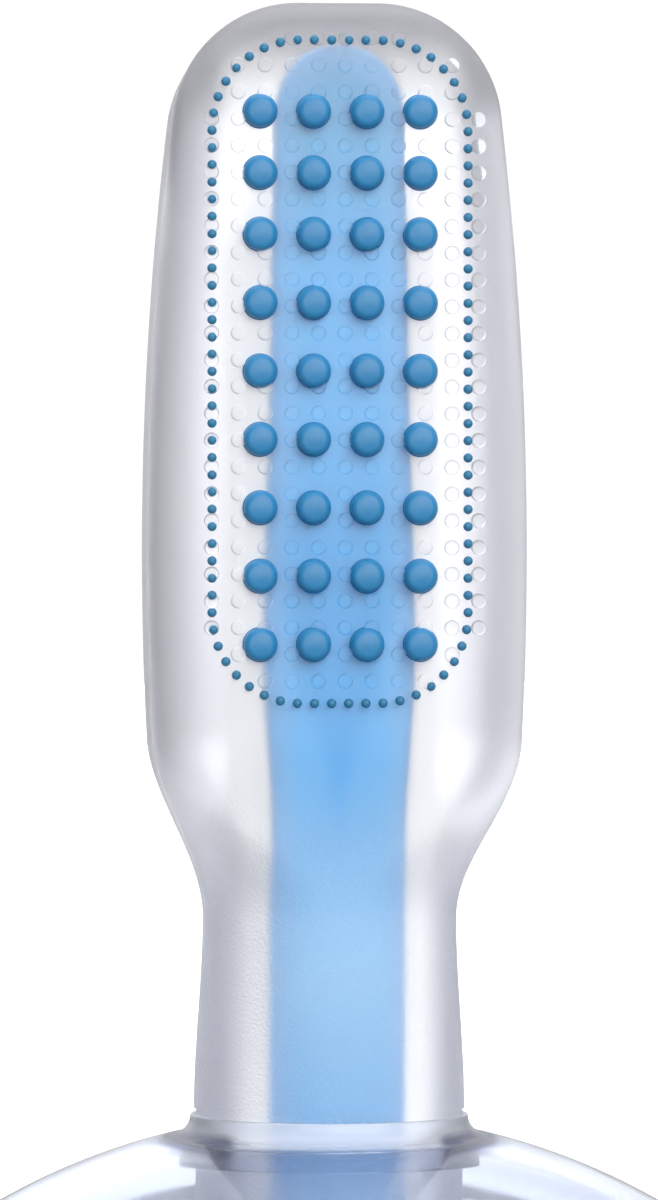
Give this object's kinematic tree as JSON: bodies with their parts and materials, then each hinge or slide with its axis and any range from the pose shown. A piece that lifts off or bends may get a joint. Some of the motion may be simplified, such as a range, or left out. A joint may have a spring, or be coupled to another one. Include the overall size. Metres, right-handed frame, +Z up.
{
  "type": "finger toothbrush",
  "caption": "Clear silicone finger brush with a flat studded face, a blue spine moulded inside, a beaded border and a clear domed guard that its base slides out of.",
  "frame": {"origin": "centre of the sleeve's mouth rim, on the axis of the finger pocket", "axes": "+Z up the sleeve to its crown, -Y out of the brushing face, +X to the right of that face"},
  "size_m": [0.051, 0.051, 0.0874],
  "materials": {
    "clear_silicone": "frosted translucent silicone",
    "blue_core": "satin light blue silicone",
    "blue_nub": "smooth mid blue silicone",
    "blue_bead": "smooth dark blue silicone",
    "clear_guard": "clear polished plastic"
  },
  "bodies": {
    "guard": {"bite_guard": "clear_guard"},
    "sleeve": {"finger_sleeve": "clear_silicone", "core_spine": "blue_core", "nub_row_1": "blue_nub", "nub_row_2": "blue_nub", "nub_row_3": "blue_nub", "nub_row_4": "blue_nub", "nub_row_5": "blue_nub", "nub_row_6": "blue_nub", "nub_row_7": "blue_nub", "nub_row_8": "blue_nub", "nub_row_9": "blue_nub", "border_beads": "blue_bead"}
  },
  "joints": [
    {"name": "sleeve_slide", "type": "slide", "parent": "guard", "child": "sleeve", "axis": [0, 0, 1], "range_m": [0, 0.012]}
  ]
}
